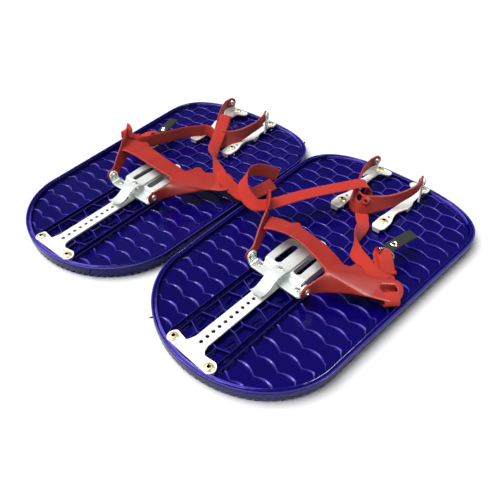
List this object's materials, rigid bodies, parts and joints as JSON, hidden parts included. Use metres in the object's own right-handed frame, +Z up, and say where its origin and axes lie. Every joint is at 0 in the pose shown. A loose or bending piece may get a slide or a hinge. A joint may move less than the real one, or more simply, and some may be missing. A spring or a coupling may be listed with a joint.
{
  "type": "snowshoes",
  "caption": "Pair of moulded plastic snowshoes with a sliding heel plate, folding heel cup, toe cage and buckled webbing straps.",
  "frame": {"origin": "centre of the pair's bounding box in plan, on the ground under the teeth", "axes": "+X from the left shoe to the right shoe, +Y from the tails to the toes, +Z up"},
  "size_m": [0.587, 0.4712, 0.0582],
  "materials": {
    "deck_plastic": "glossy, translucent-looking deep violet blue",
    "red_moulding": "satin flexible plastic",
    "webbing": "woven flat webbing",
    "tab_webbing": "woven flat webbing",
    "bright_steel": "satin, pale",
    "zinc_steel": "bright zinc plate",
    "yellow_zinc": "yellowish zinc plate",
    "rivet_steel": "dull",
    "nickel_wire": "polished nickel"
  },
  "bodies": {
    "right_shoe": {"right_deck": "deck_plastic", "right_length_bar": "bright_steel", "right_outer_webbing": "webbing", "right_crossing_webbing": "webbing", "right_bar_screw_outer": "yellow_zinc", "right_toe_bracket_outer": "bright_steel", "right_toe_pivot_outer": "rivet_steel", "right_toe_screw_rear_outer": "yellow_zinc", "right_toe_screw_front_outer": "yellow_zinc", "right_bar_screw_inner": "yellow_zinc", "right_toe_bracket_inner": "bright_steel", "right_toe_pivot_inner": "rivet_steel", "right_toe_screw_rear_inner": "yellow_zinc", "right_toe_screw_front_inner": "yellow_zinc"},
    "right_carriage": {"right_heel_plate": "zinc_steel", "right_bar_guide": "zinc_steel", "right_plate_rivet_outer": "yellow_zinc", "right_heel_pivot_outer": "rivet_steel", "right_plate_rivet_inner": "yellow_zinc", "right_heel_pivot_inner": "rivet_steel"},
    "right_latch": {"right_heel_latch": "zinc_steel", "right_latch_pin": "zinc_steel"},
    "right_cup": {"right_heel_cup": "red_moulding", "right_webbing_tail": "webbing", "right_buckle_webbing": "webbing", "right_fixed_d_ring": "nickel_wire"},
    "right_release": {"right_release_d_ring": "nickel_wire", "right_release_tab": "tab_webbing", "right_tab_eyelet": "nickel_wire"},
    "right_cage": {"right_toe_cage": "red_moulding"},
    "left_shoe": {"left_deck": "deck_plastic", "left_length_bar": "bright_steel", "left_outer_webbing": "webbing", "left_crossing_webbing": "webbing", "left_bar_screw_outer": "yellow_zinc", "left_toe_bracket_outer": "bright_steel", "left_toe_pivot_outer": "rivet_steel", "left_toe_screw_rear_outer": "yellow_zinc", "left_toe_screw_front_outer": "yellow_zinc", "left_bar_screw_inner": "yellow_zinc", "left_toe_bracket_inner": "bright_steel", "left_toe_pivot_inner": "rivet_steel", "left_toe_screw_rear_inner": "yellow_zinc", "left_toe_screw_front_inner": "yellow_zinc"},
    "left_carriage": {"left_heel_plate": "zinc_steel", "left_bar_guide": "zinc_steel", "left_plate_rivet_outer": "yellow_zinc", "left_heel_pivot_outer": "rivet_steel", "left_plate_rivet_inner": "yellow_zinc", "left_heel_pivot_inner": "rivet_steel"},
    "left_latch": {"left_heel_latch": "zinc_steel", "left_latch_pin": "zinc_steel"},
    "left_cup": {"left_heel_cup": "red_moulding", "left_webbing_tail": "webbing", "left_buckle_webbing": "webbing", "left_fixed_d_ring": "nickel_wire"},
    "left_release": {"left_release_d_ring": "nickel_wire", "left_release_tab": "tab_webbing", "left_tab_eyelet": "nickel_wire"},
    "left_cage": {"left_toe_cage": "red_moulding"}
  },
  "joints": [
    {"name": "right_carriage_slide", "type": "slide", "parent": "right_shoe", "child": "right_carriage", "axis": [0.0429, 0.9991, 0], "range_m": [-0.095, 0.019], "deforming": ["right_outer_webbing", "right_crossing_webbing"]},
    {"name": "right_latch_hinge", "type": "hinge", "parent": "right_carriage", "child": "right_latch", "pos_m": [0.14001, -0.01908, 0.0302], "axis": [-0.9991, 0.0429, 0], "range_deg": [0, 10], "stiffness_Nm_per_rad": 1},
    {"name": "right_cup_hinge", "type": "hinge", "parent": "right_carriage", "child": "right_cup", "pos_m": [0.13772, -0.07233, 0.0333], "axis": [0.9991, -0.0429, 0], "range_deg": [0, 120]},
    {"name": "right_release_hinge", "type": "hinge", "parent": "right_cup", "child": "right_release", "pos_m": [0.22301, 0.03741, 0.033], "axis": [0.8488, 0.5287, 0], "range_deg": [0, 60]},
    {"name": "right_cage_hinge", "type": "hinge", "parent": "right_shoe", "child": "right_cage", "pos_m": [0.14961, 0.20441, 0.0436], "axis": [-0.9991, 0.0429, 0], "range_deg": [0, 60]},
    {"name": "left_carriage_slide", "type": "slide", "parent": "left_shoe", "child": "left_carriage", "axis": [-0.0429, 0.9991, 0], "range_m": [-0.095, 0.019], "deforming": ["left_outer_webbing", "left_crossing_webbing"]},
    {"name": "left_latch_hinge", "type": "hinge", "parent": "left_carriage", "child": "left_latch", "pos_m": [-0.14001, -0.02388, 0.0302], "axis": [-0.9991, -0.0429, 0], "range_deg": [0, 10], "stiffness_Nm_per_rad": 1},
    {"name": "left_cup_hinge", "type": "hinge", "parent": "left_carriage", "child": "left_cup", "pos_m": [-0.13772, -0.07713, 0.0333], "axis": [0.9991, 0.0429, 0], "range_deg": [0, 120]},
    {"name": "left_release_hinge", "type": "hinge", "parent": "left_cup", "child": "left_release", "pos_m": [-0.22301, 0.03261, 0.033], "axis": [0.8488, -0.5287, 0], "range_deg": [0, 60]},
    {"name": "left_cage_hinge", "type": "hinge", "parent": "left_shoe", "child": "left_cage", "pos_m": [-0.14961, 0.19961, 0.0436], "axis": [-0.9991, -0.0429, 0], "range_deg": [0, 60]},
    {"name": "pair_spread", "type": "slide", "parent": "right_shoe", "child": "left_shoe", "axis": [-1, 0, 0], "range_m": [0, 0.2]}
  ]
}
